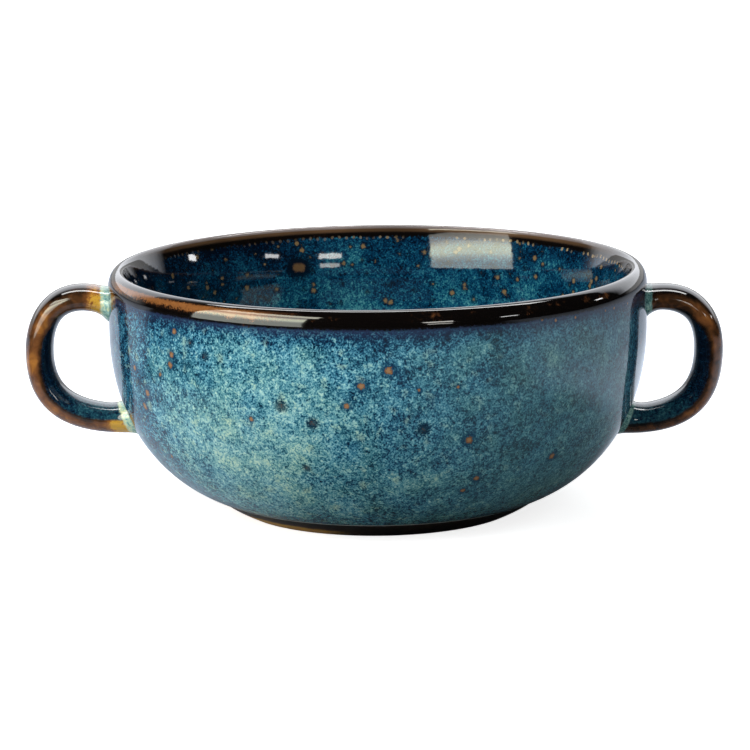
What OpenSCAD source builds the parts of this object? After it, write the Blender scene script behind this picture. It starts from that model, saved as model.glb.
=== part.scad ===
// Hand-thrown stoneware soup bowl with an open loop handle on each side. All lengths are in millimetres.
// The origin is the middle of the foot's rest face. +Z is up, the handles lie along X and the front faces -Y.

/* [Bowl] */
// Clay diameter of the upright wall below the lip
rim_d = 151.1; // [138:0.1:166]
// Clay height from the table to the top of the lip
bowl_h = 68.7; // [62:0.1:76]
// How far the belly stands out past the wall below the lip
belly_swell = 0; // [0:0.1:2]
// Height of the belly, where the bend of the bowl ends and the upright wall starts
belly_z = 51.6; // [47:0.1:56]
// Height of the lip's rounded outside
lip_h = 4.35; // [3:0.05:6]
// Width of the lip's rounded outside, from its top out to the wall
lip_w = 2.8; // [1.8:0.05:3.1]
// Height of the lip's rounded inside
lip_inside_h = 1.8; // [1:0.1:2.6]
// Clay thickness at the lip
wall_t = 4; // [3.2:0.1:4.8]
// Clay thickness of the floor and of the wall up to the belly
floor_t = 7; // [5.5:0.1:8]
// Radius of the flat middle of the underside
flat_r = 26.6; // [20:0.1:32]
// Height of the flat underside above the table
recess_h = 1.5; // [1:0.1:3]
// How far the lower bend stays flat, as a share of the way out to the belly
lower_fullness = 0.73; // [0.6:0.01:0.85]
// How far the upper wall stays upright, as a share of the way down to the underside
upper_fullness = 0.48; // [0.35:0.005:0.6]

/* [Foot] */
// Outer diameter of the foot's rest face
foot_d = 79.6; // [74:0.1:86]
// Width of the foot's rest face
foot_w = 4.6; // [3:0.1:7]
// Diameter where the foot's flared side meets the wall
foot_top_d = 96; // [90:0.1:102]

/* [Handles] */
// Strap thickness, across the loop
strap_t = 7.3; // [6:0.1:8.6]
// Strap width, front to back
strap_w = 13.5; // [11:0.1:17]
// How square the strap's oval section is, where 2 is an ellipse
strap_squareness = 2.3; // [2:0.1:3]
// Drop from the upper arm to the lower arm, middle to middle
loop_drop = 35; // [30.5:0.1:38]
// Radius of the upper bend, at the middle of the strap
upper_bend_r = 13.3; // [11:0.1:14.5]
// Radius of the lower bend, at the middle of the strap
lower_bend_r = 15; // [12:0.1:15.5]
// Left handle, upper arm's middle below the lip
left_below_lip = 8; // [7.4:0.1:10.5]
// Left handle, furthest middle of the strap out from the wall
left_reach = 20.3; // [17.5:0.1:24]
// Right handle, upper arm's middle below the lip
right_below_lip = 9.5; // [7.4:0.1:10.5]
// Right handle, furthest middle of the strap out from the wall
right_reach = 18.2; // [17.5:0.1:24]

/* [Joints] */
// How far a slip collar stands out from the wall
joint_reach = 2.6; // [1.6:0.1:3.4]
// How far a slip collar stands out round the strap
joint_t = 1; // [0.6:0.1:1.6]

/* [Glaze] */
// Thickness of every glaze coat
glaze_t = 0.35; // [0.2:0.05:0.5]
// Depth of the brown rim coat on the outside
rim_band = 4.7; // [3.6:0.1:6]
// Depth of the brown rim coat on the inside
rim_band_inside = 3; // [2.4:0.1:5]

/* [Hidden] */
$fn = 96;
low_steps = 24;
high_steps = 6;
lip_steps = 8;
lip_turn = 150;
strap_steps = 32;

clay_colour = [0.32, 0.22, 0.15];
slip_colour = [0.55, 0.64, 0.52];
blue_colour = [0.20, 0.42, 0.54];
navy_colour = [0.03, 0.11, 0.18];
brown_colour = [0.22, 0.13, 0.07];

rim_r = rim_d / 2;
mid_wall = wall_t / 2;
belly_r = rim_r + belly_swell;
foot_r = foot_d / 2;
foot_in_r = foot_r - foot_w;
foot_top_r = foot_top_d / 2;

// The lip is a quarter oval outside and most of a smaller one inside, with their tops together
lip_inside_w = wall_t - lip_w;
lip_top_r = rim_r - lip_w;
lip_start = [rim_r, bowl_h - lip_h];
lip_end = [lip_top_r + lip_inside_w * cos(lip_turn), bowl_h - lip_inside_h + lip_inside_h * sin(lip_turn)];
lip_end_way = [lip_inside_w * sin(lip_turn), -lip_inside_h * cos(lip_turn)];
lip_end_up = lip_end_way / norm(lip_end_way);

// The clay's outside, from the flat underside up to the lip, is two smooth curves.
// Its inside is a floor's thickness away up to the belly, and one more curve from there to the lip.
high_third = (lip_start.y - belly_z) / 3;
inside_third = (lip_end.y - belly_z) / 3;
low_curve = [
    [flat_r, recess_h],
    [flat_r + lower_fullness * (belly_r - flat_r), recess_h],
    [belly_r, belly_z - upper_fullness * (belly_z - recess_h)],
    [belly_r, belly_z]
];
high_curve = [
    [belly_r, belly_z],
    [belly_r, belly_z + high_third],
    [rim_r, lip_start.y - high_third],
    lip_start
];
inside_curve = [
    [belly_r - floor_t, belly_z],
    [belly_r - floor_t, belly_z + inside_third],
    lip_end - inside_third * lip_end_up,
    lip_end
];

function curve_point(c, t) =
    pow(1 - t, 3) * c[0] + 3 * pow(1 - t, 2) * t * c[1] + 3 * (1 - t) * t * t * c[2] + pow(t, 3) * c[3];
function curve_way(c, t) =
    pow(1 - t, 2) * (c[1] - c[0]) + 2 * (1 - t) * t * (c[2] - c[1]) + t * t * (c[3] - c[2]);
function outwards(way) = [way.y, -way.x] / norm(way);
function reversed(list) = [for (i = [len(list) - 1:-1:0]) list[i]];

low_t = [for (i = [0:low_steps]) i / low_steps];
high_t = [for (i = [1:high_steps]) i / high_steps];
wall_points = concat(
    [for (t = low_t) curve_point(low_curve, t)],
    [for (t = high_t) curve_point(high_curve, t)]
);
wall_normals = concat(
    [for (t = low_t) outwards(curve_way(low_curve, t))],
    [for (t = high_t) outwards(curve_way(high_curve, t))]
);
last_point = len(wall_points) - 1;

// Lines a distance d off the clay: outside, over the lip and inside
function outer_line(d) = [for (i = [0:last_point]) wall_points[i] + d * wall_normals[i]];
function inner_line(d) = concat(
    [for (i = [0:low_steps]) wall_points[i] - (floor_t + d) * wall_normals[i]],
    [for (t = high_t) curve_point(inside_curve, t) - d * outwards(curve_way(inside_curve, t))]
);
function oval_point(w, h, d, a) = [lip_top_r + (w + d) * cos(a), bowl_h - h + (h + d) * sin(a)];
function lip_line(d) = concat(
    [for (i = [1:lip_steps]) oval_point(lip_w, lip_h, d, 90 * i / lip_steps)],
    [for (i = [1:lip_steps - 1]) oval_point(lip_inside_w, lip_inside_h, d, 90 + (lip_turn - 90) * i / lip_steps)]
);

// Half sections, drawn in X and Y and turned round the bowl's axis
module thrown_section(d) {
    polygon(concat(
        [[0, recess_h - d]],
        outer_line(d),
        lip_line(d),
        reversed(inner_line(d)),
        [[0, recess_h + floor_t + d]]
    ));
}

module filled_section(d) {
    above = 2 * bowl_h;
    polygon(concat(
        [[0, recess_h - d]],
        outer_line(d),
        [[lip_start.x + d, above], [0, above]]
    ));
}

module coat_section() {
    difference() {
        thrown_section(glaze_t);
        thrown_section(0);
    }
}

module below(height) {
    translate([0, -bowl_h])
        square([rim_d, height + bowl_h]);
}

module outer_field() {
    difference() {
        below(bowl_h - rim_band);
        filled_section(-mid_wall);
    }
}

module inner_field() {
    intersection() {
        below(bowl_h - rim_band_inside);
        filled_section(-mid_wall);
    }
}

// The solid inside a line a distance d off the clay, with the hollow filled in
module filled_bowl(d) {
    rotate_extrude()
        filled_section(d);
}

// Strap section, grown by d all round: thickness along X, width along Y
function rounded(value) = sign(value) * pow(abs(value), 2 / strap_squareness);

module strap_section(d) {
    polygon([
        for (i = [0:strap_steps - 1])
            let (a = 360 * (i + 0.5) / strap_steps)
                [(strap_t / 2 + d) * rounded(cos(a)), (strap_w / 2 + d) * rounded(sin(a))]
    ]);
}

// The loop's middle line: upper arm, quarter bend, upright side, quarter bend, lower arm.
// Its places are rounded to a hundredth, so that the runs meet face to face.
function neat(value) = round(100 * value) / 100;

upper_r = neat(upper_bend_r);
lower_r = neat(lower_bend_r);
drop = neat(loop_drop);
arm_root = neat(0.75 * rim_r);
arm_tip = neat(rim_r + 2 * joint_reach);

function upper_z(below_lip) = neat(bowl_h - below_lip);
function lower_z(below_lip) = upper_z(below_lip) - drop;

module arm(z, root, tip) {
    translate([root, z, 0])
        rotate([0, 90, 0])
            linear_extrude(tip - root)
                rotate(90)
                    children();
}

module side(x, bottom, top) {
    translate([x, bottom, 0])
        rotate([-90, 0, 0])
            linear_extrude(top - bottom)
                children();
}

module bend(x, z, radius, from_angle) {
    translate([x, z, 0])
        rotate(from_angle)
            rotate_extrude(angle = 90)
                translate([radius, 0])
                    children();
}

module loop(below_lip, reach) {
    side_x = neat(rim_r + reach);
    top_z = upper_z(below_lip);
    low_z = lower_z(below_lip);
    rotate([90, 0, 0]) {
        arm(top_z, arm_root, side_x - upper_r) children();
        bend(side_x - upper_r, top_z - upper_r, upper_r, 0) children();
        side(side_x, low_z + lower_r, top_z - upper_r) children();
        bend(side_x - lower_r, low_z + lower_r, lower_r, -90) children();
        arm(low_z, arm_root, side_x - lower_r) children();
    }
}

module loop_clay(below_lip, reach) {
    difference() {
        loop(below_lip, reach)
            strap_section(0);
        filled_bowl(0);
    }
}

module loop_coat(below_lip, reach) {
    difference() {
        loop(below_lip, reach)
            difference() {
                strap_section(glaze_t);
                strap_section(0);
            }
        filled_bowl(joint_reach);
    }
}

// A bar through the wall along one arm, as wide as its slip collar
module joint_bar(z) {
    rotate([90, 0, 0])
        arm(z, arm_root, arm_tip)
            strap_section(joint_t);
}

module joint_collar(z) {
    difference() {
        intersection() {
            joint_bar(z);
            filled_bowl(joint_reach);
        }
        filled_bowl(0);
        rotate([90, 0, 0])
            arm(z, arm_root, arm_tip)
                strap_section(0);
    }
}

module left_side() {
    mirror([1, 0, 0])
        children();
}

module bowl_body() {
    color(clay_colour)
        rotate_extrude()
            thrown_section(0);
}

module foot_ring() {
    foot_top_z = lookup(foot_top_r, outer_line(0));
    color(clay_colour)
        rotate_extrude()
            difference() {
                polygon([
                    [foot_in_r, 0],
                    [foot_r, 0],
                    [foot_top_r, foot_top_z],
                    [foot_top_r, foot_top_z + floor_t],
                    [foot_in_r, foot_top_z + floor_t]
                ]);
                filled_section(0);
            }
}

module left_handle() {
    color(clay_colour)
        left_side()
            loop_clay(left_below_lip, left_reach);
}

module right_handle() {
    color(clay_colour)
        loop_clay(right_below_lip, right_reach);
}

module left_upper_joint() {
    color(slip_colour)
        left_side()
            joint_collar(upper_z(left_below_lip));
}

module left_lower_joint() {
    color(slip_colour)
        left_side()
            joint_collar(lower_z(left_below_lip));
}

module right_upper_joint() {
    color(slip_colour)
        joint_collar(upper_z(right_below_lip));
}

module right_lower_joint() {
    color(slip_colour)
        joint_collar(lower_z(right_below_lip));
}

module outer_glaze() {
    color(blue_colour)
        difference() {
            rotate_extrude()
                intersection() {
                    coat_section();
                    outer_field();
                    translate([foot_top_r, 0])
                        square([rim_d, bowl_h]);
                }
            left_side()
                joint_bar(upper_z(left_below_lip));
            left_side()
                joint_bar(lower_z(left_below_lip));
            joint_bar(upper_z(right_below_lip));
            joint_bar(lower_z(right_below_lip));
        }
}

module inner_glaze() {
    color(navy_colour)
        rotate_extrude()
            intersection() {
                coat_section();
                inner_field();
            }
}

module rim_glaze() {
    color(brown_colour)
        difference() {
            rotate_extrude()
                difference() {
                    coat_section();
                    outer_field();
                    inner_field();
                }
            left_side()
                joint_bar(upper_z(left_below_lip));
            joint_bar(upper_z(right_below_lip));
        }
}

module left_handle_glaze() {
    color(brown_colour)
        left_side()
            loop_coat(left_below_lip, left_reach);
}

module right_handle_glaze() {
    color(brown_colour)
        loop_coat(right_below_lip, right_reach);
}

module base_glaze() {
    color(navy_colour)
        rotate_extrude()
            intersection() {
                coat_section();
                outer_field();
                below(bowl_h / 2);
                translate([0, -bowl_h])
                    square([foot_in_r, 2 * bowl_h]);
            }
}

bowl_body();
foot_ring();
left_handle();
right_handle();
left_upper_joint();
left_lower_joint();
right_upper_joint();
right_lower_joint();
outer_glaze();
inner_glaze();
rim_glaze();
left_handle_glaze();
right_handle_glaze();
base_glaze();
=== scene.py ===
"""Looks of a glazed stoneware soup bowl with two loop handles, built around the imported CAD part.

Lengths are in metres, in the CAD model's frame: +Z up, the handles along X, the front facing -Y.
"""

import math
from dataclasses import dataclass

import bmesh
import bpy
from mathutils import Matrix, Vector


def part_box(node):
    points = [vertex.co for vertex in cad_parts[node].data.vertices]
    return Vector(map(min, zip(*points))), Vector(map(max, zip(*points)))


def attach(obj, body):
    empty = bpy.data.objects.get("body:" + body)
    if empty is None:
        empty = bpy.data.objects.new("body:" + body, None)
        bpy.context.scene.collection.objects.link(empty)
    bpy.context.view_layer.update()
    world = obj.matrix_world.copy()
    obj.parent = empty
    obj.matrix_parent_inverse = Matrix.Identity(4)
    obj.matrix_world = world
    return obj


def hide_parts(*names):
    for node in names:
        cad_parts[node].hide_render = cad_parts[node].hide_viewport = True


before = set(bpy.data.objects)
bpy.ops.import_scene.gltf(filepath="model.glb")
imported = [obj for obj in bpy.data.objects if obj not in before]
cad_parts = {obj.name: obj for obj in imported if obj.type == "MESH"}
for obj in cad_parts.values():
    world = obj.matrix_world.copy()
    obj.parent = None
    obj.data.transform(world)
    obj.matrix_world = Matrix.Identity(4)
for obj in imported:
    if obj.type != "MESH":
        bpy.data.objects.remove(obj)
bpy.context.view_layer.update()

MM = 0.001

# Bowl sizes: those that the frame shows are read from it, the rest repeat the CAD model's own values
clay_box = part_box("bowl_body")
GLAZE_T = 0.35 * MM
BOWL_H = clay_box[1].z
RIM_R = clay_box[1].y
RECESS_H = clay_box[0].z
BELLY_Z = 51.6 * MM
LIP_H = 4.35 * MM
LIP_W = 2.8 * MM
LIP_INSIDE_H = 1.8 * MM
LIP_TURN = math.radians(150)
WALL_T = 4.0 * MM
FLOOR_T = 7.0 * MM
FLAT_R = 26.6 * MM
LOWER_FULLNESS = 0.73
UPPER_FULLNESS = 0.48
RIM_BAND = 4.7 * MM
RIM_BAND_INSIDE = 3.0 * MM

# Foot
FOOT_TOP_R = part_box("foot_ring")[1].y
FOOT_R = 39.8 * MM
FOOT_W = 4.6 * MM
FOOT_EDGE_R = 0.5 * MM
FOOT_BULGE = 0.35 * MM
# Height of the painted highlight line along the glaze's lower edge
FOOT_HIGHLIGHT_Z = 5.1 * MM

# Handle strap
STRAP_W = 14.0 * MM
STRAP_SQUARENESS = 2.1
UPPER_ROOT_R = 72.5 * MM
LOWER_ROOT_R = 67.2 * MM

# Swelling of a strap where it meets the wall, with what is added on the inside of the loop
FILLET_REACH = 3.0 * MM
FILLET_REACH_INSIDE = 1.8 * MM
FILLET_DEPTH = 0.6 * MM
FILLET_DEPTH_INSIDE = 0.9 * MM
FILLET_FALL = 2.2

# Unevenness of the thrown wall, as waves of (depth in millimetres, lobes, start, twist with height)
WOBBLES = ((0.04, 2, 0.7, 0), (0.03, 3, 0, 55), (0.02, 7, 0, 0))

# How finely the round pieces are cut
TURN_STEPS = 288
LOW_STEPS = 64
HIGH_STEPS = 24
LIP_STEPS = 20
SPINE_STEPS = 120
STRAP_STEPS = 64
COLLAR_STEPS = 18
FOOT_INNER_STEPS = 6
FOOT_OUTER_STEPS = 8
FOOT_SIDE_STEPS = 12

# Edges that bend more than this stay sharp
SHARP_ANGLE = math.radians(50)

# How far the brown glaze reaches across a strap from its outer side, at even shares of the way round
BROWN_REACH = (1.2, 0.75, 0.22, 0.08, 0.12)


@dataclass
class Loop:
    """How one handle runs. Lengths are in millimetres and start from the box of the CAD loop.

    The pulls say how far the loop keeps its way before it bends: out from the upper root, up and down
    from the side, and in to the lower root. The thicknesses are at even shares of the way round.
    """
    name: str
    side: int
    crest_below_top: float
    rise: float
    lower_above_bottom: float
    fall: float
    root_lift: float
    side_inside: float
    side_share: float
    pulls: tuple
    thickness: tuple


LOOPS = (
    Loop(
        name="left",
        side=-1,
        crest_below_top=3.0,
        rise=3.9,
        lower_above_bottom=3.45,
        fall=0.4,
        root_lift=0.5,
        side_inside=3.9,
        side_share=0.54,
        pulls=(0.73, 0.65, 0.69, 0.72),
        thickness=(7.45, 7.5, 7.95, 8.3, 8.0),
    ),
    Loop(
        name="right",
        side=1,
        crest_below_top=3.25,
        rise=1.95,
        lower_above_bottom=3.0,
        fall=0.3,
        root_lift=0.9,
        side_inside=4.1,
        side_share=0.57,
        pulls=(0.69, 0.70, 0.62, 0.76),
        thickness=(7.1, 7.65, 8.2, 8.5, 8.05),
    ),
)


# Curves

def bezier(points, t):
    """Point of a curve with four control points, at a share of its way."""
    a, b, c, d = points
    s = 1 - t
    return a * s ** 3 + b * (3 * s * s * t) + c * (3 * s * t * t) + d * t ** 3


def bezier_way(points, t):
    """Direction of such a curve at a share of its way."""
    a, b, c, d = points
    s = 1 - t
    return ((b - a) * (s * s) + (c - b) * (2 * s * t) + (d - c) * (t * t)).normalized()


def outwards(way):
    """Normal of a section line: a quarter turn clockwise from its direction."""
    return Vector((way.y, -way.x))


def on_circle(angle):
    return Vector((math.cos(angle), math.sin(angle)))


def between(values, share):
    """Smooth value at a share of the way through evenly spaced values."""
    place = share * (len(values) - 1)
    first = min(int(place), len(values) - 2)
    t = place - first
    return values[first] + (values[first + 1] - values[first]) * t * t * (3 - 2 * t)


LIP_INSIDE_W = WALL_T - LIP_W


def lip_oval(width, height, offset, angle):
    """A point of the lip's rounded outside or inside, whose tops are together."""
    middle = Vector((RIM_R - LIP_W, BOWL_H - height))
    return middle + Vector(((width + offset) * math.cos(angle), (height + offset) * math.sin(angle)))


lip_start = Vector((RIM_R, BOWL_H - LIP_H))
lip_end = lip_oval(LIP_INSIDE_W, LIP_INSIDE_H, 0, LIP_TURN)
lip_end_up = Vector((LIP_INSIDE_W * math.sin(LIP_TURN), -LIP_INSIDE_H * math.cos(LIP_TURN)))
lip_end_up.normalize()
inside_third = (lip_end.y - BELLY_Z) / 3
LOW_CURVE = (
    Vector((FLAT_R, RECESS_H)),
    Vector((FLAT_R + LOWER_FULLNESS * (RIM_R - FLAT_R), RECESS_H)),
    Vector((RIM_R, BELLY_Z - UPPER_FULLNESS * (BELLY_Z - RECESS_H))),
    Vector((RIM_R, BELLY_Z)),
)
INSIDE_CURVE = (
    Vector((RIM_R - FLOOR_T, BELLY_Z)),
    Vector((RIM_R - FLOOR_T, BELLY_Z + inside_third)),
    lip_end - inside_third * lip_end_up,
    lip_end,
)


def bowl_line(offset):
    """The bowl's section at a distance off the clay: foot, outside, lip, inside and axis."""
    low = [(bezier(LOW_CURVE, i / LOW_STEPS), outwards(bezier_way(LOW_CURVE, i / LOW_STEPS)))
           for i in range(LOW_STEPS + 1)]
    outside = [point + offset * normal for point, normal in low if point.x >= FOOT_TOP_R]
    for i in range(1, HIGH_STEPS + 1):
        height = BELLY_Z + (lip_start.y - BELLY_Z) * i / HIGH_STEPS
        outside.append(Vector((RIM_R + offset, height)))
    lip = []
    for i in range(1, LIP_STEPS + 1):
        lip.append(lip_oval(LIP_W, LIP_H, offset, math.pi / 2 * i / LIP_STEPS))
    for i in range(1, LIP_STEPS):
        angle = math.pi / 2 + (LIP_TURN - math.pi / 2) * i / LIP_STEPS
        lip.append(lip_oval(LIP_INSIDE_W, LIP_INSIDE_H, offset, angle))
    inside = []
    for i in range(HIGH_STEPS, 0, -1):
        t = i / HIGH_STEPS
        inside.append(bezier(INSIDE_CURVE, t) - offset * outwards(bezier_way(INSIDE_CURVE, t)))
    inside += [point - (FLOOR_T + offset) * normal for point, normal in reversed(low)]
    middle = Vector((0, RECESS_H + FLOOR_T + offset))
    return outside + lip + inside + [middle]


glaze_line = bowl_line(GLAZE_T)
clay_line = bowl_line(0)
wall_top = max(range(len(glaze_line)), key=lambda i: glaze_line[i].y)
rim_first = next(i for i, p in enumerate(clay_line) if p.y > BOWL_H - RIM_BAND)
rim_last = next(i for i in range(wall_top, len(clay_line)) if clay_line[i].y < BOWL_H - RIM_BAND_INSIDE)


def ways_from_lip():
    """How far each section point lies from the lip's top along the glaze, below zero on the outside."""
    ways = [0.0]
    for here, there in zip(glaze_line, glaze_line[1:]):
        ways.append(ways[-1] + (there - here).length)
    return [way - ways[wall_top] for way in ways]


lip_ways = ways_from_lip()


def wall_radius(z):
    """Outside radius of the glazed wall at a height."""
    for here, there in zip(glaze_line, glaze_line[1:wall_top]):
        if here.y <= z <= there.y:
            return here.x + (there.x - here.x) * (z - here.y) / (there.y - here.y)
    return glaze_line[0].x


def wall_gap(point):
    """Distance of a point from the glazed outside wall, below zero inside it."""
    flat = Vector((math.hypot(point.x, point.y), point.z))
    nearest = min(glaze_line[:wall_top], key=lambda p: (p - flat).length_squared)
    gap = (nearest - flat).length
    return gap if flat.x > wall_radius(point.z) else -gap


# Meshes

def hand_wobble(angle, z):
    """Change of the wall's radius at an angle and a height."""
    total = 0
    for depth, lobes, start, twist in WOBBLES:
        total += depth * math.sin(lobes * angle + start + twist * z)
    return total * MM


def make_piece(name, points, faces, attributes):
    """A smooth mesh object with named values at its corners."""
    mesh = bpy.data.meshes.new(name)
    mesh.from_pydata(points, [], faces)
    for attribute, values in attributes.items():
        mesh.attributes.new(attribute, "FLOAT", "POINT").data.foreach_set("value", values)
    mesh.validate()
    work = bmesh.new()
    work.from_mesh(mesh)
    bmesh.ops.recalc_face_normals(work, faces=work.faces)
    work.to_mesh(mesh)
    work.free()
    mesh.shade_smooth()
    mesh.set_sharp_from_angle(angle=SHARP_ANGLE)
    piece = bpy.data.objects.new(name, mesh)
    bpy.context.scene.collection.objects.link(piece)
    return piece


def revolve(name, loop, ways):
    """Turns a closed section round the bowl's axis. Its points on the axis become single corners."""
    points, faces, rings, values = [], [], [], []
    for flat, way in zip(loop, ways):
        start = len(points)
        steps = 1 if flat.x < 1e-6 else TURN_STEPS
        for i in range(steps):
            angle = 2 * math.pi * i / TURN_STEPS
            radius = flat.x + (hand_wobble(angle, flat.y) if steps > 1 else 0)
            points.append((radius * math.cos(angle), radius * math.sin(angle), flat.y))
            values.append(way)
        rings.append((start, steps))
    for (low, low_steps), (high, high_steps) in zip(rings, rings[1:] + rings[:1]):
        if low_steps == high_steps == 1:
            continue
        for i in range(TURN_STEPS):
            j = (i + 1) % TURN_STEPS
            if high_steps == 1:
                faces.append((low + i, low + j, high))
            elif low_steps == 1:
                faces.append((low, high + j, high + i))
            else:
                faces.append((low + i, low + j, high + j, high + i))
    return make_piece(name, points, faces, {"lip_way": values})


def coat(name, first, last):
    """A glaze coat: the section between two of its points, from the clay out to the glaze."""
    loop = glaze_line[first:last + 1] + clay_line[first:last + 1][::-1]
    ways = lip_ways[first:last + 1] + lip_ways[first:last + 1][::-1]
    return revolve(name, loop, ways)


def foot_piece():
    """The flared foot: a ring with rounded edges, closed above inside the wall."""
    inner_r = FOOT_R - FOOT_W
    top = clay_line[0]
    flare = (top - Vector((FOOT_R, 0))).normalized()
    loop = [Vector((inner_r, RECESS_H))]
    for i in range(FOOT_INNER_STEPS + 1):
        angle = math.pi + (math.pi / 2) * i / FOOT_INNER_STEPS
        loop.append(Vector((inner_r + FOOT_EDGE_R, FOOT_EDGE_R)) + FOOT_EDGE_R * on_circle(angle))
    outer_mid = Vector((FOOT_R - FOOT_EDGE_R, FOOT_EDGE_R))
    flare_angle = math.atan2(-flare.x, flare.y)
    for i in range(FOOT_OUTER_STEPS + 1):
        angle = -math.pi / 2 + (flare_angle + math.pi / 2) * i / FOOT_OUTER_STEPS
        loop.append(outer_mid + FOOT_EDGE_R * on_circle(angle))
    side_start = loop[-1]
    for i in range(1, FOOT_SIDE_STEPS + 1):
        share = i / FOOT_SIDE_STEPS
        out = FOOT_BULGE * math.sin(math.pi * share)
        loop.append(side_start.lerp(top, share) + outwards(flare) * out)
    loop.append(top + Vector((0, FLOOR_T / 2)))
    loop.append(Vector((inner_r, RECESS_H + FLOOR_T / 2)))
    return revolve("foot", loop, [p.y for p in loop])


def strap_spine(run):
    """Middle line of a loop as (point, way), from inside the wall at the top to inside it below."""
    low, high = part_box(f"{run.name}_handle_glaze")
    reach = max(abs(low.x), abs(high.x)) - run.side_inside * MM
    top_z = high.z - run.crest_below_top * MM
    low_z = low.z + run.lower_above_bottom * MM
    side_z = low_z + run.side_share * (top_z - low_z)
    out_pull, up_pull, down_pull, in_pull = run.pulls
    upper = (
        Vector((UPPER_ROOT_R, top_z - run.rise * MM)),
        Vector((UPPER_ROOT_R + out_pull * (reach - UPPER_ROOT_R), top_z + run.rise * MM)),
        Vector((reach, side_z + up_pull * (top_z - side_z))),
        Vector((reach, side_z)),
    )
    lower = (
        Vector((reach, side_z)),
        Vector((reach, side_z - down_pull * (side_z - low_z))),
        Vector((LOWER_ROOT_R + in_pull * (reach - LOWER_ROOT_R), low_z - run.fall * MM)),
        Vector((LOWER_ROOT_R, low_z + run.root_lift * MM)),
    )
    spine = []
    half = SPINE_STEPS // 2
    for i in range(SPINE_STEPS + 1):
        curve = upper if i < half else lower
        t = (i if i < half else i - half) / half
        point = bezier(curve, t)
        way = bezier_way(curve, t)
        spine.append((Vector((run.side * point.x, 0, point.y)), Vector((run.side * way.x, 0, way.y))))
    return spine


def fillet(gap, outness):
    """How much a strap swells where it runs into the wall: more on the inside of the loop."""
    inness = (1 - outness) / 2
    reach = FILLET_REACH + FILLET_REACH_INSIDE * inness
    depth = FILLET_DEPTH + FILLET_DEPTH_INSIDE * inness
    share = min(1, max(0, 1 - gap / reach))
    return depth * share ** FILLET_FALL


def strap_rings(run):
    """Rings of one loop, with corners of (point, outness, gap to the wall, way along, brown)."""
    rings = []
    across = Vector((0, 1, 0))
    power = 2 / STRAP_SQUARENESS
    for step, (middle, way) in enumerate(strap_spine(run)):
        along = step / SPINE_STEPS
        thickness = between(run.thickness, along) * MM
        out = way.cross(across) * run.side
        ring = []
        for i in range(STRAP_STEPS):
            angle = 2 * math.pi * i / STRAP_STEPS
            outness = math.cos(angle)
            sideness = math.sin(angle)
            out_share = math.copysign(abs(outness) ** power, outness)
            side_share = math.copysign(abs(sideness) ** power, sideness)
            bare = middle + out * (out_share * thickness / 2) + across * (side_share * STRAP_W / 2)
            gap = wall_gap(bare)
            swell = (out * outness + across * sideness) * fillet(gap, outness)
            brown = outness + between(BROWN_REACH, along)
            ring.append((bare + swell, outness, gap, along, brown))
        rings.append(ring)
    return rings


def strap_piece(name, rings):
    """A closed tube through some of a loop's rings."""
    corners = [corner for ring in rings for corner in ring]
    points = [corner[0] for corner in corners]
    attributes = {
        "outness": [corner[1] for corner in corners],
        "gap": [corner[2] for corner in corners],
        "along": [corner[3] for corner in corners],
        "brown": [corner[4] for corner in corners],
    }
    faces = []
    for k in range(len(rings) - 1):
        here = k * STRAP_STEPS
        there = here + STRAP_STEPS
        for i in range(STRAP_STEPS):
            j = (i + 1) % STRAP_STEPS
            faces.append((here + i, here + j, there + j, there + i))
    last = (len(rings) - 1) * STRAP_STEPS
    faces.append(tuple(range(STRAP_STEPS))[::-1])
    faces.append(tuple(last + i for i in range(STRAP_STEPS)))
    return make_piece(name, points, faces, attributes)


# Node trees

def set_stops(ramp, stops):
    """Gives a colour ramp its stops of (position, colour)."""
    elements = ramp.color_ramp.elements
    while len(elements) < len(stops):
        elements.new(0.5)
    for element, (position, colour) in zip(elements, stops):
        element.position = position
        element.color = (*colour, 1)


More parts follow.
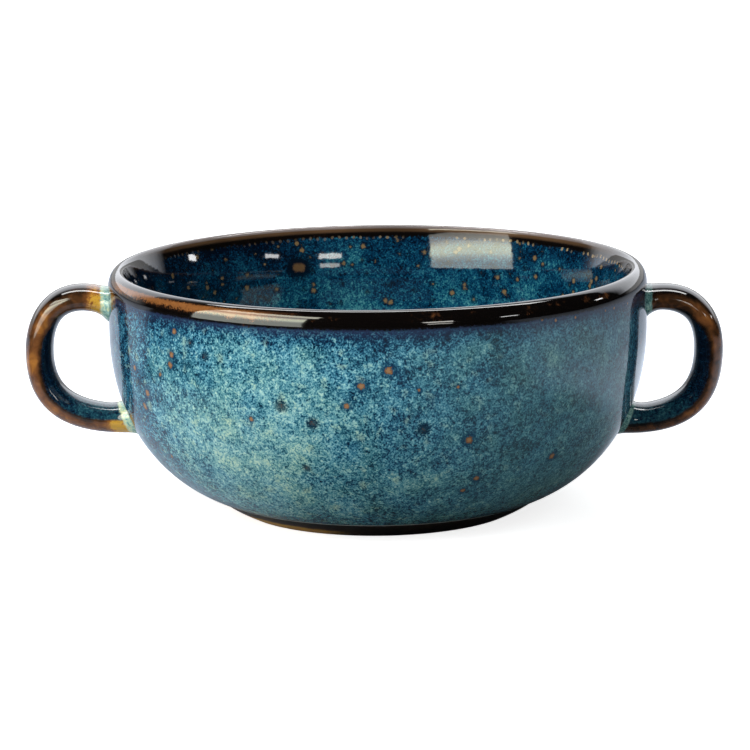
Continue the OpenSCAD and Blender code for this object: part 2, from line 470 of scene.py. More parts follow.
class NodeTree:
    """The node tree of a material or world, with short calls for the nodes that it is made of."""

    def __init__(self, owner, coordinates="Object"):
        self.owner = owner
        owner.use_nodes = True
        self.nodes = owner.node_tree.nodes
        self.links = owner.node_tree.links
        self.nodes.clear()
        self.place = self.add("ShaderNodeTexCoord").outputs[coordinates]

    def add(self, kind, **settings):
        node = self.nodes.new(kind)
        for key, value in settings.items():
            setattr(node, key, value)
        return node

    def feed(self, socket, value):
        if isinstance(value, bpy.types.NodeSocket):
            self.links.new(value, socket)
        elif isinstance(value, tuple) and len(value) == 3 and socket.type == "RGBA":
            socket.default_value = (*value, 1)
        else:
            socket.default_value = value

    def math(self, operation, first, second=0.0):
        node = self.add("ShaderNodeMath", operation=operation)
        self.feed(node.inputs[0], first)
        self.feed(node.inputs[1], second)
        return node.outputs[0]

    def plus(self, *values):
        total = values[0]
        for value in values[1:]:
            total = self.math("ADD", total, value)
        return total

    def times(self, *values):
        total = values[0]
        for value in values[1:]:
            total = self.math("MULTIPLY", total, value)
        return total

    def attribute(self, name):
        return self.add("ShaderNodeAttribute", attribute_name=name).outputs["Fac"]

    def part(self, axis):
        node = self.add("ShaderNodeSeparateXYZ")
        self.feed(node.inputs[0], self.place)
        return node.outputs[axis]

    def noise(self, size, detail=0.0, roughness=0.5, distortion=0.0):
        """Smooth noise about 0, from about -0.5 to 0.5, with blobs of a size in metres."""
        node = self.add("ShaderNodeTexNoise")
        self.feed(node.inputs["Vector"], self.place)
        self.feed(node.inputs["Scale"], 1 / size)
        self.feed(node.inputs["Detail"], detail)
        self.feed(node.inputs["Roughness"], roughness)
        self.feed(node.inputs["Distortion"], distortion)
        return self.math("SUBTRACT", node.outputs["Fac"], 0.5)

    def layers(self, *noises):
        """Sum of noises, given as (size, strength, bend)."""
        return self.plus(*(self.times(self.noise(size, distortion=bend), strength)
                           for size, strength, bend in noises))

    def cells(self, size):
        """Distance in metres to the nearest of many scattered points."""
        node = self.add("ShaderNodeTexVoronoi")
        self.feed(node.inputs["Vector"], self.place)
        self.feed(node.inputs["Scale"], 1 / size)
        return self.times(node.outputs["Distance"], size)

    def distance(self, point):
        node = self.add("ShaderNodeVectorMath", operation="DISTANCE")
        self.feed(node.inputs[0], self.place)
        self.feed(node.inputs[1], point)
        return node.outputs["Value"]

    def step(self, value, low, high):
        """0 at low, 1 at high, smooth between. Low may be above high."""
        node = self.add("ShaderNodeMapRange", interpolation_type="SMOOTHSTEP")
        self.feed(node.inputs["Value"], value)
        self.feed(node.inputs["From Min"], low)
        self.feed(node.inputs["From Max"], high)
        return node.outputs[0]

    def ramp(self, value, *stops):
        node = self.add("ShaderNodeValToRGB")
        set_stops(node, stops)
        self.feed(node.inputs["Fac"], value)
        return node.outputs["Color"]

    def blend(self, share, first, second):
        node = self.add("ShaderNodeMix", data_type="RGBA")
        self.feed(node.inputs[0], share)
        self.feed(node.inputs[6], first)
        self.feed(node.inputs[7], second)
        return node.outputs[2]

    def finish(self, colour, roughness, ripple, depth):
        """Ends a material in a shiny surface with a ripple of some depth in metres."""
        surface = self.add("ShaderNodeBsdfPrincipled")
        self.feed(surface.inputs["Base Color"], colour)
        self.feed(surface.inputs["Roughness"], roughness)
        bump = self.add("ShaderNodeBump")
        self.feed(bump.inputs["Strength"], 1.0)
        self.feed(bump.inputs["Distance"], depth)
        self.feed(bump.inputs["Height"], ripple)
        self.feed(surface.inputs["Normal"], bump.outputs["Normal"])
        output = self.add("ShaderNodeOutputMaterial")
        self.feed(output.inputs["Surface"], surface.outputs[0])
        return self.owner


# Glaze colours, with the colours of a painted reflection haze and painted highlights among them
NAVY = (0.003, 0.013, 0.034)
DEEP_BLUE = (0.007, 0.045, 0.100)
INDIGO = (0.026, 0.036, 0.085)
CREAM = (0.440, 0.610, 0.410)
SLATE = (0.030, 0.060, 0.075)
# Grey of a painted reflection haze
REFLECTION_GREY = (0.270, 0.380, 0.370)
IRON_BLACK = (0.0030, 0.0022, 0.0020)
IRON_BROWN = (0.270, 0.105, 0.030)
AMBER = (0.640, 0.360, 0.045)
TAN = (0.230, 0.130, 0.055)
OCHRE = (0.270, 0.175, 0.075)
PALE_TAN = (0.420, 0.300, 0.150)
RUST = (0.340, 0.195, 0.095)
LIP_BROWN = (0.130, 0.072, 0.036)
# Colour of the painted highlight along the far lip's edge
LIP_HIGHLIGHT = (0.380, 0.320, 0.300)
SPOT_RING = (0.001, 0.006, 0.014)
SPOT_BROWN = (0.13, 0.075, 0.035)
SPOT_EDGE = (0.20, 0.10, 0.05)
# Colour of the painted highlight line above the foot
FOOT_HIGHLIGHT = (0.70, 0.70, 0.66)

# Speckle of the glazes: size, strength and bend of each layer of noise
BOWL_SPECKLE = (
    (7 * MM, 0.34, 0.0),
    (3.4 * MM, 0.20, 0.4),
    (1.7 * MM, 0.42, 0.8),
    (0.85 * MM, 0.85, 1.2),
    (0.45 * MM, 0.85, 0.6),
)
HANDLE_SPECKLE = (
    (3.4 * MM, 0.30, 0.4),
    (1.7 * MM, 0.45, 0.8),
    (0.85 * MM, 0.8, 1.0),
    (0.45 * MM, 0.7, 0.4),
)

# Roughness of the glazes and of bare clay, and the depth of their ripples and grain
BOWL_ROUGHNESS = 0.05
HANDLE_ROUGHNESS = 0.08
FOOT_ROUGHNESS = 0.35
CLAY_ROUGHNESS = 0.8
RIPPLE_DEPTH = 0.03 * MM
FOOT_GRAIN_DEPTH = 0.04 * MM
CLAY_GRAIN_DEPTH = 0.05 * MM

# Where the brown rim glaze ends outside and inside, from the top of the lip, and half its edge's width
RIM_ENDS_OUTSIDE = -6.4 * MM
RIM_ENDS_INSIDE = 4.2 * MM
RIM_EDGE_HALF = 0.4 * MM

# Row of small dots along the inside end of the rim glaze
RIM_DOTS = 204
RIM_DOT_R = 0.6 * MM


def on_wall(azimuth, height):
    """A place on the outside: azimuth in degrees from the front, positive to the right, and height."""
    radius = wall_radius(height)
    angle = math.radians(azimuth)
    return Vector((radius * math.sin(angle), -radius * math.cos(angle), height))


# Brown spots on the outside: azimuth in degrees, height and radius in millimetres
SPOTS = (
    (-46, 60.2, 0.75), (-47, 53.8, 0.75), (-47.5, 50.9, 0.75), (-51, 47.6, 0.6), (-61.5, 47.2, 0.7),
    (-57, 41.0, 0.95), (-59.5, 36.7, 0.95), (2, 53.4, 0.9), (-3.5, 49.4, 0.8), (-6.5, 44.0, 0.7),
    (-27, 38.9, 0.5), (-56, 22.8, 0.55), (19, 33.2, 0.95), (42, 24.7, 0.9), (22.5, 21.3, 0.75),
    (20, 17.6, 0.6), (16, 48.3, 0.4), (8, 48.0, 0.4), (35, 64.2, 0.45), (38.5, 63.4, 0.45),
    (44, 63.3, 0.4), (54, 63.2, 0.4), (57.5, 63.2, 0.4), (64, 63.1, 0.4), (74, 50.0, 0.7),
    (110, 38.0, 0.9), (-128, 52.0, 0.8), (150, 45.0, 0.8), (-165, 33.0, 0.9), (175, 55.0, 0.7),
)
# Dark blue spots on the outside, given the same way
DARK_SPOTS = (
    (-20, 43.2, 1.1), (-13.5, 38.9, 1.0), (9, 37.1, 1.1), (-41.5, 58.0, 0.7), (-37.5, 54.8, 0.8),
    (-16, 25.7, 0.7), (88, 41.0, 1.0), (-150, 40.0, 1.1), (165, 30.0, 1.0),
)

# Middle of the lighter, greener patch on the outside at the front left
POOL = on_wall(-28, 31 * MM)


def nearest_spot(tree, spots):
    """Distance to the nearest of some spots on the outside, in radii of that spot."""
    nearest = None
    for azimuth, height, radius in spots:
        away = tree.math("DIVIDE", tree.distance(on_wall(azimuth, height * MM)), radius * MM)
        nearest = away if nearest is None else tree.math("MINIMUM", nearest, away)
    return nearest


def dot_row(tree, way, place, count, radius):
    """A row of small dots round the bowl at one distance from the lip, some of them faint."""
    angle = tree.math("ARCTAN2", tree.part("Y"), tree.part("X"))
    turn = tree.plus(tree.times(angle, count / (2 * math.pi)), tree.noise(9 * MM))
    spacing = 2 * math.pi * RIM_R / count
    beside = tree.times(tree.math("SUBTRACT", tree.math("FRACT", turn), 0.5), spacing)
    above = tree.plus(way, -place, tree.times(tree.noise(5 * MM), 1.6 * MM))
    away = tree.math("SQRT", tree.plus(tree.times(beside, beside), tree.times(above, above)))
    shown = tree.step(tree.noise(6 * MM), -0.14, 0.06)
    return tree.times(tree.step(away, radius, 0.5 * radius), shown)


def outside_colour(tree, way, speckle, clouds):
    """Mottled blue, lighter and greener at the front left, with painted shade under the rim and by the
    handles, and a painted grey reflection haze to the right.
    """
    pool = tree.step(tree.distance(POOL), 46 * MM, 8 * MM)
    rightward = tree.step(tree.part("X"), -15 * MM, 50 * MM)
    # Painted shade: darker under the rim, where the glaze is also bluer with fewer cream flecks
    under_rim = tree.step(tree.plus(way, tree.times(clouds, 6 * MM)), -14 * MM, -6 * MM)
    low = tree.step(way, -36 * MM, -72 * MM)
    # Painted shade: darker, bluer and without haze on the wall beside the handles
    beside = tree.plus(tree.math("ABSOLUTE", tree.part("X")), tree.times(clouds, 12 * MM))
    handle_shade = tree.step(beside, 62 * MM, 77 * MM)
    # Painted reflection haze: the speckle loses contrast to the right
    contrast = tree.plus(0.90, tree.times(rightward, -0.32), tree.times(low, -0.05))
    value = tree.plus(
        0.42,
        tree.times(speckle, contrast),
        tree.times(clouds, 0.30),
        tree.times(pool, 0.22),
        tree.times(under_rim, -0.18),
        tree.times(handle_shade, -0.19),
    )
    blue = tree.ramp(
        value,
        (0.05, NAVY),
        (0.24, DEEP_BLUE),
        (0.42, (0.030, 0.160, 0.260)),
        (0.60, (0.105, 0.345, 0.450)),
        (0.80, (0.270, 0.570, 0.620)),
        (1.00, (0.470, 0.750, 0.730)),
    )
    green = tree.ramp(
        value,
        (0.05, (0.004, 0.018, 0.030)),
        (0.24, (0.010, 0.062, 0.090)),
        (0.42, (0.045, 0.180, 0.220)),
        (0.60, (0.140, 0.365, 0.370)),
        (0.80, (0.330, 0.590, 0.520)),
        (1.00, (0.550, 0.740, 0.560)),
    )
    greenness = tree.plus(
        0.05,
        tree.times(tree.noise(9 * MM, detail=2), 2.0),
        tree.times(pool, 0.55),
        tree.times(low, 0.45),
        tree.times(rightward, 0.40),
        tree.times(under_rim, -0.6),
        tree.times(handle_shade, -0.5),
    )
    colour = tree.blend(greenness, blue, green)
    # Painted reflection: a grey haze of the white floor's reflection, growing to the right
    reflection_share = tree.plus(0.13, tree.times(handle_shade, -0.13))
    colour = tree.blend(tree.times(rightward, reflection_share), colour, REFLECTION_GREY)
    flecks = tree.step(tree.plus(tree.noise(2.8 * MM), tree.times(speckle, 0.4)), 0.14, 0.40)
    fewer = tree.math("MAXIMUM", under_rim, tree.times(rightward, 0.8))
    colour = tree.blend(tree.times(flecks, tree.plus(0.4, tree.times(fewer, -0.4))), colour, CREAM)
    haze = tree.step(tree.plus(way, tree.times(clouds, 2 * MM)), -10 * MM, -6 * MM)
    colour = tree.blend(tree.times(haze, 0.7), colour, INDIGO)
    thin = tree.step(tree.plus(way, tree.times(clouds, 6 * MM)), -80 * MM, -88 * MM)
    colour = tree.blend(tree.times(thin, 0.7), colour, SLATE)
    dark = tree.plus(nearest_spot(tree, DARK_SPOTS), tree.times(speckle, 1.6))
    colour = tree.blend(tree.times(tree.step(dark, 2.6, 0.8), 0.85), colour, NAVY)
    colour = tree.blend(tree.times(tree.step(dark, 0.5, 0.2), 0.3), colour, TAN)
    spot = tree.plus(nearest_spot(tree, SPOTS), tree.times(speckle, 0.9))
    colour = tree.blend(tree.times(tree.step(spot, 3.4, 1.3), 0.7), colour, DEEP_BLUE)
    colour = tree.blend(tree.step(spot, 1.2, 0.9), colour, SPOT_EDGE)
    return tree.blend(tree.step(spot, 0.95, 0.45), colour, RUST)


# Largest brown spot on the inside: the ends of its middle line and its radius
INSIDE_SPOT = (Vector((-24.4, 64.8, 57.5)) * MM, Vector((-23.1, 65.3, 57.5)) * MM)
INSIDE_SPOT_R = 1.8 * MM


def inside_colour(tree, way, speckle, clouds):
    """Dark blue, lighter lower down and with painted shade to the left, with ochre dots in dark rings.
    """
    low = tree.step(tree.plus(way, tree.times(clouds, 10 * MM)), 6 * MM, 34 * MM)
    # Painted shade: darker on the left inside, which the key light does not reach
    leftward = tree.step(tree.part("X"), -8 * MM, -58 * MM)
    top = tree.step(way, 10 * MM, 4 * MM)
    value = tree.plus(
        0.42,
        tree.times(speckle, 0.78),
        tree.times(clouds, 0.50),
        tree.times(tree.noise(11 * MM, detail=1), 0.45),
        tree.times(low, 0.20),
        tree.times(leftward, -0.26),
        tree.times(top, -0.12),
    )
    colour = tree.ramp(
        value,
        (0.08, (0.0004, 0.004, 0.013)),
        (0.32, (0.0010, 0.022, 0.055)),
        (0.52, (0.004, 0.060, 0.118)),
        (0.72, (0.020, 0.145, 0.195)),
        (0.95, (0.080, 0.290, 0.300)),
    )
    sparse = tree.plus(0.55 * MM, tree.times(tree.step(tree.part("X"), -10 * MM, 30 * MM), -0.30 * MM))
    rarer = tree.times(tree.step(tree.noise(7 * MM), -0.16, 0.16), sparse)
    dots = tree.plus(tree.cells(3.9 * MM), tree.times(speckle, 0.6 * MM), rarer)
    colour = tree.blend(tree.times(tree.step(dots, 1.9 * MM, 0.8 * MM), 0.75), colour, SPOT_RING)
    colour = tree.blend(tree.times(tree.step(dots, 0.95 * MM, 0.45 * MM), 0.75), colour, OCHRE)
    to_ends = [tree.distance(end) for end in INSIDE_SPOT]
    large = tree.plus(tree.math("MINIMUM", *to_ends), tree.times(speckle, 0.5 * MM))
    colour = tree.blend(tree.step(large, 2.7 * INSIDE_SPOT_R, 1.1 * INSIDE_SPOT_R), colour, SPOT_RING)
    return tree.blend(tree.step(large, INSIDE_SPOT_R, 0.5 * INSIDE_SPOT_R), colour, SPOT_BROWN)


def rim_colour(tree, way, speckle):
    """Black, breaking to brown on the outer face at the front left, with a painted highlight along the
    far lip's edge.
    """
    patches = tree.noise(26 * MM, detail=3)
    flakes = tree.step(tree.noise(3 * MM, detail=3), 0.06, 0.24)
    leftward = tree.step(tree.part("X"), -12 * MM, -42 * MM)
    front_left = tree.times(leftward, tree.step(tree.part("Y"), -4 * MM, -26 * MM))
    backward = tree.step(tree.part("Y"), 10 * MM, 50 * MM)
    outer_face = tree.step(tree.plus(way, tree.times(speckle, 0.8 * MM)), -1.5 * MM, -2.5 * MM)
    ragged = tree.plus(way, tree.times(speckle, 1.2 * MM), tree.times(patches, 3.0 * MM))
    low_edge = tree.step(ragged, -3.6 * MM, -5.4 * MM)
    # Painted highlight: a pale band along the top edge of the far lip
    lip_highlight_band = tree.times(tree.step(way, 0.0, 0.4 * MM), tree.step(way, 1.8 * MM, 1.2 * MM))
    below_edge = tree.times(tree.step(way, 1.1 * MM, 1.7 * MM), tree.step(way, 3.0 * MM, 2.0 * MM))
    brown = tree.plus(
        0.06,
        tree.times(patches, 0.5),
        tree.times(flakes, outer_face, 0.42),
        tree.times(front_left, outer_face, 0.78),
        tree.times(speckle, 0.25),
        tree.times(low_edge, -0.8),
    )
    colour = tree.ramp(brown, (0.12, IRON_BLACK), (0.45, (0.050, 0.020, 0.008)), (0.85, IRON_BROWN))
    brown_share = tree.plus(0.75, tree.times(patches, 1.6))
    colour = tree.blend(tree.times(backward, below_edge, brown_share), colour, LIP_BROWN)
    # Painted highlight on the far lip's edge
    lip_highlight_share = tree.plus(0.6, patches)
    return tree.blend(tree.times(backward, lip_highlight_band, lip_highlight_share), colour, LIP_HIGHLIGHT)


def bowl_glaze(name):
    """One glaze for outside, rim and inside, told apart by the way from the lip."""
    tree = NodeTree(bpy.data.materials.new(name))
    way = tree.attribute("lip_way")
    speckle = tree.layers(*BOWL_SPECKLE)
    clouds = tree.noise(24 * MM, detail=2)
    edge = tree.plus(way, tree.times(speckle, 0.9 * MM))
    colour = tree.blend(
        tree.step(edge, RIM_ENDS_OUTSIDE - RIM_EDGE_HALF, RIM_ENDS_OUTSIDE + RIM_EDGE_HALF),
        outside_colour(tree, way, speckle, clouds),
        rim_colour(tree, way, speckle))
    colour = tree.blend(
        tree.step(edge, RIM_ENDS_INSIDE - RIM_EDGE_HALF, RIM_ENDS_INSIDE + RIM_EDGE_HALF),
        colour,
        inside_colour(tree, way, speckle, clouds))
    row = dot_row(tree, way, RIM_ENDS_INSIDE, RIM_DOTS, RIM_DOT_R)
    rightward = tree.step(tree.part("X"), -30 * MM, 35 * MM)
    row = tree.times(row, tree.plus(0.20, tree.times(rightward, 0.80)))
    colour = tree.blend(tree.times(row, 0.7), colour, PALE_TAN)
    ripple = tree.plus(tree.noise(9 * MM, detail=1), tree.times(tree.noise(1.6 * MM), 0.26))
    return tree.finish(colour, BOWL_ROUGHNESS, ripple, RIPPLE_DEPTH)


def handle_glaze(name):
    """Brown on the outside of a loop, navy on its inside, and pale where it meets the wall. Painted
    light makes the left loop lighter, and painted shade darkens the brown towards the navy.
    """
    tree = NodeTree(bpy.data.materials.new(name))
    outness = tree.attribute("outness")
    gap = tree.attribute("gap")
    along = tree.attribute("along")
    leftward = tree.step(tree.part("X"), 1 * MM, -1 * MM)
    patches = tree.noise(8 * MM, detail=3)
    mottle = tree.noise(3 * MM, detail=2, distortion=0.6)
    speckle = tree.layers(*HANDLE_SPECKLE)
    upper = tree.step(along, 0.55, 0.25)
    side = tree.times(tree.step(along, 0.20, 0.40), tree.step(along, 1.00, 0.75))
    border = tree.plus(
        tree.attribute("brown"),
        tree.times(patches, 0.3),
        tree.times(leftward, 0.14),
        -0.14,
    )
    near_root = tree.step(gap, 8 * MM, 4 * MM)
    crest = tree.times(tree.step(outness, 0.30, 0.85), upper)
    # Painted shade: the brown darkens towards the navy inside of the loop
    border_shade = tree.step(border, 0.36, 0.04)
    brown_value = tree.plus(
        0.30,
        tree.times(patches, 0.8),
        tree.times(mottle, 0.60),
        tree.times(side, 0.20),
        # Painted light: the left loop's brown is lighter, on the side where the key light falls
        tree.times(leftward, 0.12),
        tree.times(near_root, leftward, tree.plus(0.66, tree.times(speckle, 0.7))),
        tree.times(crest, -0.36),
        tree.times(border_shade, -0.30),
    )
    brown = tree.ramp(
        brown_value,
        (0.06, IRON_BLACK),
        (0.32, (0.045, 0.020, 0.008)),
        (0.56, (0.170, 0.064, 0.020)),
        (0.80, (0.410, 0.168, 0.034)),
        (1.00, AMBER),
    )
    lower = tree.step(along, 0.50, 0.90)
    navy_value = tree.plus(0.12, tree.times(speckle, 0.55), tree.times(lower, 0.30))
    navy = tree.ramp(
        navy_value,
        (0.06, (0.001, 0.003, 0.009)),
        (0.28, (0.003, 0.015, 0.036)),
        (0.50, (0.015, 0.075, 0.105)),
        (0.75, (0.080, 0.220, 0.230)),
    )
    colour = tree.blend(tree.step(border, -0.08, 0.10), navy, brown)
    collar_edge = tree.step(gap, 0.8 * MM, 1.9 * MM)
    pale_value = tree.plus(
        0.40,
        tree.times(speckle, 0.55),
        # Painted light: the left loop's pale glaze is lighter
        tree.times(leftward, 0.20),
        tree.times(patches, 0.4),
        tree.times(collar_edge, 0.16),
    )
    pale = tree.ramp(
        pale_value,
        (0.12, (0.016, 0.050, 0.055)),
        (0.36, (0.070, 0.190, 0.190)),
        (0.58, (0.300, 0.520, 0.450)),
        (0.85, (0.680, 0.720, 0.420)),
    )
    edge = tree.plus(
        gap,
        tree.times(patches, 1.2 * MM),
        tree.times(speckle, 0.5 * MM),
        tree.times(leftward, -0.7 * MM),
    )
    colour = tree.blend(tree.step(edge, 1.8 * MM, 1.2 * MM), colour, pale)
    return tree.finish(colour, HANDLE_ROUGHNESS, tree.noise(6 * MM, detail=1), RIPPLE_DEPTH)


def foot_clay(name):
    """Dark clay with painted light turning it amber low down on the left, and a painted highlight line
    above.
    """
    tree = NodeTree(bpy.data.materials.new(name))
    height = tree.part("Z")
    patches = tree.noise(9 * MM, detail=4, roughness=0.7)
    grain = tree.noise(0.6 * MM, detail=2)
    # Painted light: amber low down on the foot's left, where the light from the left falls
    lit_low_edge = tree.step(tree.plus(height, tree.times(patches, 2.4 * MM)), 3.4 * MM, 1.2 * MM)
    leftward = tree.step(tree.part("X"), 5 * MM, -30 * MM)
    value = tree.plus(
        0.20,
        tree.times(patches, 0.5),
        tree.times(grain, 0.2),
        tree.times(lit_low_edge, leftward, 0.95),
    )
    colour = tree.ramp(
        value,
        (0.15, (0.012, 0.009, 0.008)),
        (0.45, (0.060, 0.032, 0.014)),
        (0.80, (0.850, 0.480, 0.110)),
    )
    # Painted highlight: a pale line along the glaze's lower edge above the foot
    line = tree.step(tree.math("ABSOLUTE", tree.plus(height, -FOOT_HIGHLIGHT_Z)), 0.55 * MM, 0.20 * MM)
    colour = tree.blend(tree.times(line, 0.9), colour, FOOT_HIGHLIGHT)
    return tree.finish(colour, FOOT_ROUGHNESS, grain, FOOT_GRAIN_DEPTH)


def bare_clay(name):
    tree = NodeTree(bpy.data.materials.new(name))
    grain = tree.noise(0.8 * MM, detail=3)
    colour = tree.ramp(tree.plus(0.5, grain), (0.2, (0.22, 0.15, 0.10)), (0.8, (0.40, 0.29, 0.20)))
    return tree.finish(colour, CLAY_ROUGHNESS, grain, CLAY_GRAIN_DEPTH)


def base_glaze(name):
    tree = NodeTree(bpy.data.materials.new(name))
    speckle = tree.noise(3.4 * MM, detail=4, roughness=0.85)
    colour = tree.ramp(
        tree.plus(0.4, tree.times(speckle, 1.4)),
        (0.10, NAVY),
        (0.45, DEEP_BLUE),
        (0.80, (0.045, 0.165, 0.240)),
    )
    return tree.finish(colour, HANDLE_ROUGHNESS, tree.noise(9 * MM, detail=1), RIPPLE_DEPTH)


# Pieces, what they stand for and their finish

def paint(piece, material):
    piece.data.materials.clear()
    piece.data.materials.append(material)


def dress(piece, material, slot, *nodes):
    paint(piece, material)
    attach(piece, "root")
    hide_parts(*nodes)


glaze = bowl_glaze("bowl_glaze")
handle_finish = handle_glaze("handle_glaze")
dress(coat("bowl_outside", 0, rim_first), glaze, "blue_glaze", "outer_glaze")
dress(coat("bowl_rim", rim_first, rim_last), glaze, "iron_glaze", "rim_glaze")
dress(coat("bowl_inside", rim_last, len(glaze_line) - 1), glaze, "navy_glaze", "inner_glaze")
dress(foot_piece(), foot_clay("foot_clay"), "foot_clay", "foot_ring")

for run in LOOPS:
    rings = strap_rings(run)
    upper = strap_piece(f"{run.name}_upper_collar", rings[:COLLAR_STEPS + 1])
    loop = strap_piece(f"{run.name}_loop", rings[COLLAR_STEPS:-COLLAR_STEPS])
    lower = strap_piece(f"{run.name}_lower_collar", rings[-COLLAR_STEPS - 1:])
    dress(upper, handle_finish, "pooled_glaze", f"{run.name}_upper_joint")
    dress(loop, handle_finish, "handle_glaze", f"{run.name}_handle", f"{run.name}_handle_glaze")
    dress(lower, handle_finish, "pooled_glaze", f"{run.name}_lower_joint")

paint(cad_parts["bowl_body"], bare_clay("bare_clay"))
paint(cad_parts["base_glaze"], base_glaze("base_glaze"))


# Studio

def aim(azimuth, elevation):
    """Direction by azimuth in degrees from the front, positive to the right, and elevation."""
    turn = math.radians(azimuth)
    lift = math.radians(elevation)
    return Vector((math.sin(turn) * math.cos(lift), -math.cos(turn) * math.cos(lift), math.sin(lift)))


MOUTH_MIDDLE = Vector((0, 0, BOWL_H))
WHITE = (1.0, 1.0, 1.0)
BLACK = (0.0, 0.0, 0.0)

# Power of an area lamp for each square metre and each unit of radiance
POWER_PER_RADIANCE = 4


def lamp(name, azimuth, elevation, distance, width, height, radiance, colour=WHITE):
    """A soft rectangular lamp that faces the bowl."""
    light = bpy.data.lights.new(name, "AREA")
    light.shape = "RECTANGLE"
    light.size = width
    light.size_y = height
    light.energy = POWER_PER_RADIANCE * width * height * radiance
    light.color = colour
    rig = bpy.data.objects.new(name, light)
    way = aim(azimuth, elevation)
    rig.location = MOUTH_MIDDLE + way * distance
    rig.rotation_euler = way.to_track_quat("Z", "Y").to_euler()
    bpy.context.scene.collection.objects.link(rig)
    return rig


def soft_light(*settings):
    """A lamp that lights the bowl without showing in its gloss."""
    lamp(*settings).visible_glossy = False


def panel(name, azimuth, distance, span, bottom, top, radiance, colour=WHITE):
    """An upright panel that shows in the gloss only, with its edges measured up from the lip."""
    width = 2 * distance * math.tan(math.radians(span / 2))
    rig = lamp(name, azimuth, 0, distance, width, top - bottom, radiance, colour)
    rig.location.z = BOWL_H + (bottom + top) / 2
    rig.visible_diffuse = False
    return rig


# Colours of the softbox from its lower edge to its upper one
SOFTBOX_STOPS = (
    (0.00, (0.36, 0.38, 0.34)),
    (0.32, (0.37, 0.39, 0.35)),
    (0.41, (0.55, 0.58, 0.51)),
    (0.51, (0.91, 0.96, 0.75)),
    (0.63, (0.95, 1.00, 0.76)),
    (0.73, (0.76, 0.75, 0.61)),
    (0.82, (0.42, 0.41, 0.37)),
    (1.00, (0.20, 0.20, 0.19)),
)
# Colours of the panel behind the bowl from end to end
SHEEN_STOPS = (
    (0.00, BLACK),
    (0.14, WHITE),
    (0.86, WHITE),
    (1.00, BLACK),
)


def grade(rig, axis, stops):
    """Makes a lamp's light change along its width (X) or height (Y), by stops of (share, colour)."""
    rig.data.use_nodes = True
    tree = rig.data.node_tree
    place = tree.nodes.new("ShaderNodeNewGeometry")
    split = tree.nodes.new("ShaderNodeSeparateXYZ")
    tree.links.new(place.outputs["Parametric"], split.inputs[0])
    ramp = tree.nodes.new("ShaderNodeValToRGB")
    tree.links.new(split.outputs[axis], ramp.inputs["Fac"])
    set_stops(ramp, stops)
    tree.links.new(ramp.outputs["Color"], tree.nodes["Emission"].inputs["Color"])


# Lamps: azimuth and elevation in degrees, distance, width, height, radiance
# Panels: azimuth in degrees, distance, span in degrees, lower edge, upper edge, radiance
soft_light("key_light", -50, 35, 1.5, 1.2, 1.2, 4.6)
soft_light("front_fill", 30, 35, 1.5, 1.4, 1.0, 1.4)
grade(panel("softbox", -51.9, 0.34, 47, -0.021, 0.235, 10.0), "Y", SOFTBOX_STOPS)
panel("high_softbox", -55, 1.0, 54, 0.81, 1.14, 8.0, (1.0, 0.98, 0.80))
panel("right_strip_low", 24.2, 0.7, 10, 0.070, 0.110, 6.0, (1.0, 0.97, 0.90))
panel("right_strip_high", 24.2, 0.7, 12, 0.160, 0.210, 10.0, (1.0, 0.97, 0.90))
panel("far_right_strip", 55, 0.9, 8, 0.225, 0.270, 10.0)
panel("side_strip", 104, 0.68, 5, 0.145, 0.180, 12.0)
grade(panel("back_sheen", 180, 1.3, 118, 0.195, 1.3, 1.2, (0.90, 0.93, 1.0)), "X", SHEEN_STOPS)
soft_light("rear_light", 180, 40, 1.5, 0.9, 0.9, 2.5)
lamp("overhead_strip", 180, 67, 1.2, 1.4, 0.22, 9.0).visible_diffuse = False


# The world's pale side and how far from it the paleness starts and is full, as a cosine
PALE_SIDE = (-0.12, 1.0, 0.0)
PALE_EDGE = (0.50, 0.66)

# How bright the pale side is as light and in the gloss, and the share of that in front
WORLD_LIGHT = 0.30
WORLD_GLOSS = 0.62
WORLD_IN_FRONT = 0.02


def white_world():
    """Pale behind the bowl, more so in the gloss, and dim in front. The camera sees white."""
    world = bpy.data.worlds.new("studio")
    bpy.context.scene.world = world
    tree = NodeTree(world, "Generated")
    facing = tree.add("ShaderNodeVectorMath", operation="DOT_PRODUCT")
    tree.feed(facing.inputs[0], tree.place)
    tree.feed(facing.inputs[1], PALE_SIDE)
    behind = tree.step(facing.outputs["Value"], *PALE_EDGE)
    share = tree.plus(tree.times(behind, 1 - WORLD_IN_FRONT), WORLD_IN_FRONT)
    rays = tree.add("ShaderNodeLightPath")
    level = tree.plus(tree.times(rays.outputs["Is Glossy Ray"], WORLD_GLOSS - WORLD_LIGHT), WORLD_LIGHT)
    sky = tree.add("ShaderNodeBackground")
    seen = tree.math("MAXIMUM", tree.times(share, level), rays.outputs["Is Camera Ray"])
    tree.feed(sky.inputs["Color"], seen)
    output = tree.add("ShaderNodeOutputWorld")
    tree.feed(output.inputs["Surface"], sky.outputs[0])


# Half the floor's width, its colours as light and in the gloss, and the tint of its glints
FLOOR_HALF = 3.0
FLOOR_WHITE = (0.85, 0.85, 0.85)
FLOOR_DIM = (0.35, 0.35, 0.35)
FLOOR_GLOSS = (0.70, 0.77, 0.90)
FLOOR_GLOSS_DARK = (0.03, 0.03, 0.03)
GLINT_TINT = (0.78, 0.88, 1.0)

# Places on the floor with a brightness of their own, and the distances at which it starts and is full
LEFT_PATCH = Vector((-0.10, 0, 0))
SHADED_PATCH = Vector((0.06, -0.07, 0))
PATCH_EDGE = (0.13, 0.07)


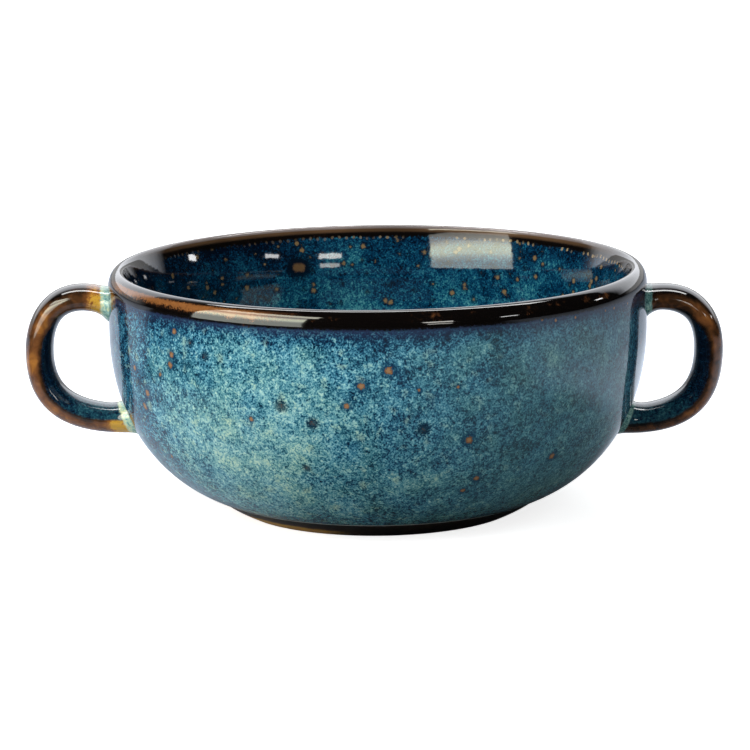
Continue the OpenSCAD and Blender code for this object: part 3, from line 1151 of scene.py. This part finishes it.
def white_floor():
    """A white table, which glows to the camera so that little more than the bowl's shadow shows.

    Other rays see it dim at the front left and in a patch at the front right.
    Gloss also sees soft glints at the right.
    """
    mesh = bpy.data.meshes.new("floor")
    near, far = -FLOOR_HALF, FLOOR_HALF
    corners = [(near, near, 0), (far, near, 0), (far, far, 0), (near, far, 0)]
    mesh.from_pydata(corners, [], [(0, 1, 2, 3)])
    floor = bpy.data.objects.new("floor", mesh)
    bpy.context.scene.collection.objects.link(floor)
    tree = NodeTree(bpy.data.materials.new("floor_white"))
    behind = tree.step(tree.plus(tree.part("Y"), tree.times(tree.part("X"), 0.3)), -0.05, 0.03)
    rightward = tree.step(tree.plus(tree.part("Y"), tree.times(tree.part("X"), 0.8)), -0.06, 0.16)
    near_left = tree.step(tree.distance(LEFT_PATCH), *PATCH_EDGE)
    shade = tree.step(tree.distance(SHADED_PATCH), *PATCH_EDGE)
    lit = tree.math("MAXIMUM", behind, tree.times(rightward, 0.9))
    lit = tree.math("MAXIMUM", lit, tree.times(near_left, 0.8))
    lit = tree.times(lit, tree.plus(1.0, tree.times(shade, -0.7)))
    away = tree.distance(Vector((0, 0, 0)))
    nearby = tree.step(away, 0.36, 0.20)
    bright = tree.times(rightward, nearby, tree.plus(1.0, tree.times(shade, -1.0)))
    back_right = tree.times(
        tree.step(tree.part("Y"), 0.06, 0.13),
        tree.step(tree.part("X"), 0.02, 0.06),
        tree.step(away, 0.32, 0.18),
    )
    glint = tree.plus(tree.times(bright, 0.30), tree.times(back_right, 0.40))
    rays = tree.add("ShaderNodeLightPath")
    by_camera = rays.outputs["Is Camera Ray"]
    by_gloss = rays.outputs["Is Glossy Ray"]
    in_gloss = tree.blend(lit, FLOOR_GLOSS_DARK, FLOOR_GLOSS)
    in_light = tree.blend(lit, FLOOR_DIM, FLOOR_WHITE)
    unseen = tree.blend(by_gloss, in_light, in_gloss)
    cloth = tree.add("ShaderNodeBsdfDiffuse")
    tree.feed(cloth.inputs["Color"], tree.blend(by_camera, unseen, FLOOR_WHITE))
    glow = tree.add("ShaderNodeEmission")
    tree.feed(glow.inputs["Color"], tree.blend(by_gloss, WHITE, GLINT_TINT))
    distant = tree.step(away, 0.4, 1.2)
    seen = tree.times(by_camera, tree.plus(0.8, tree.times(distant, 0.2)))
    tree.feed(glow.inputs["Strength"], tree.plus(seen, tree.times(by_gloss, glint)))
    both = tree.add("ShaderNodeAddShader")
    tree.feed(both.inputs[0], cloth.outputs[0])
    tree.feed(both.inputs[1], glow.outputs[0])
    output = tree.add("ShaderNodeOutputMaterial")
    tree.feed(output.inputs["Surface"], both.outputs[0])
    mesh.materials.append(tree.owner)


# Camera at the photograph's viewing angle
CAMERA_AT = Vector((-0.970, -974.965, 231.574)) * MM
CAMERA_TARGET = Vector((-0.970, 0, 37.27)) * MM
CAMERA_ROLL = math.radians(-0.581)
CAMERA_LENS = 168.08
CAMERA_SENSOR = 36


def photo_camera():
    data = bpy.data.cameras.new("camera")
    data.sensor_width = CAMERA_SENSOR
    data.sensor_fit = "HORIZONTAL"
    data.lens = CAMERA_LENS
    camera = bpy.data.objects.new("camera", data)
    forward = (CAMERA_TARGET - CAMERA_AT).normalized()
    right = Vector((1, 0, 0))
    up = right.cross(forward)
    level = Matrix((right, up, -forward)).transposed().to_4x4()
    camera.matrix_world = Matrix.Translation(CAMERA_AT) @ level @ Matrix.Rotation(CAMERA_ROLL, 4, "Z")
    bpy.context.scene.collection.objects.link(camera)
    bpy.context.scene.camera = camera


white_world()
white_floor()
photo_camera()
bpy.context.scene.view_settings.view_transform = "Standard"
